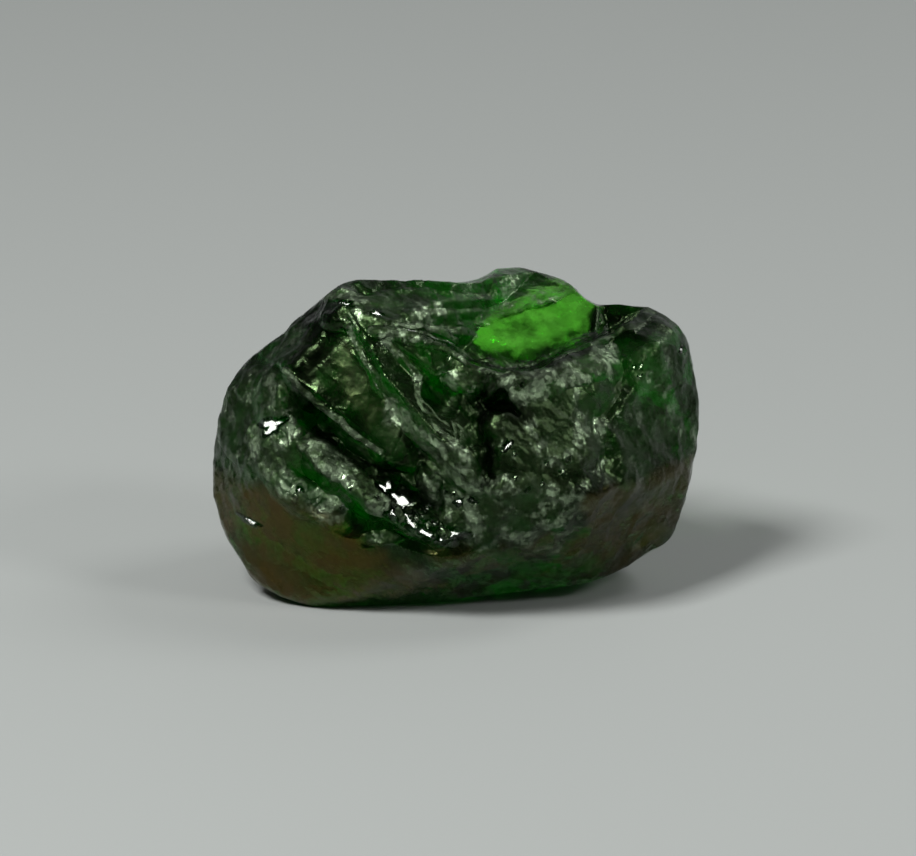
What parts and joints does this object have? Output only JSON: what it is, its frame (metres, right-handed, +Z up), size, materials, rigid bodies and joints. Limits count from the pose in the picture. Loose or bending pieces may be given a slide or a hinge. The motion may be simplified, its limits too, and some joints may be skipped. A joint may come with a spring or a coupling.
{
  "type": "rough gemstone",
  "caption": "Rough dark green garnet crystal: a blocky stone with curved stepped fractures, a deep notch behind a thin see-through wall, and a flat broken base.",
  "frame": {"origin": "on the resting face, under the middle of the stone's box", "axes": "+X to the viewer's right along the stone's length, +Y away from the pictured front, +Z up"},
  "size_m": [0.0072, 0.0048, 0.0047],
  "materials": {
    "garnet": "clear deep green crystal, glossy on clean breaks and frosted where hackly"
  },
  "bodies": {
    "root": {"garnet": "garnet"}
  },
  "joints": []
}
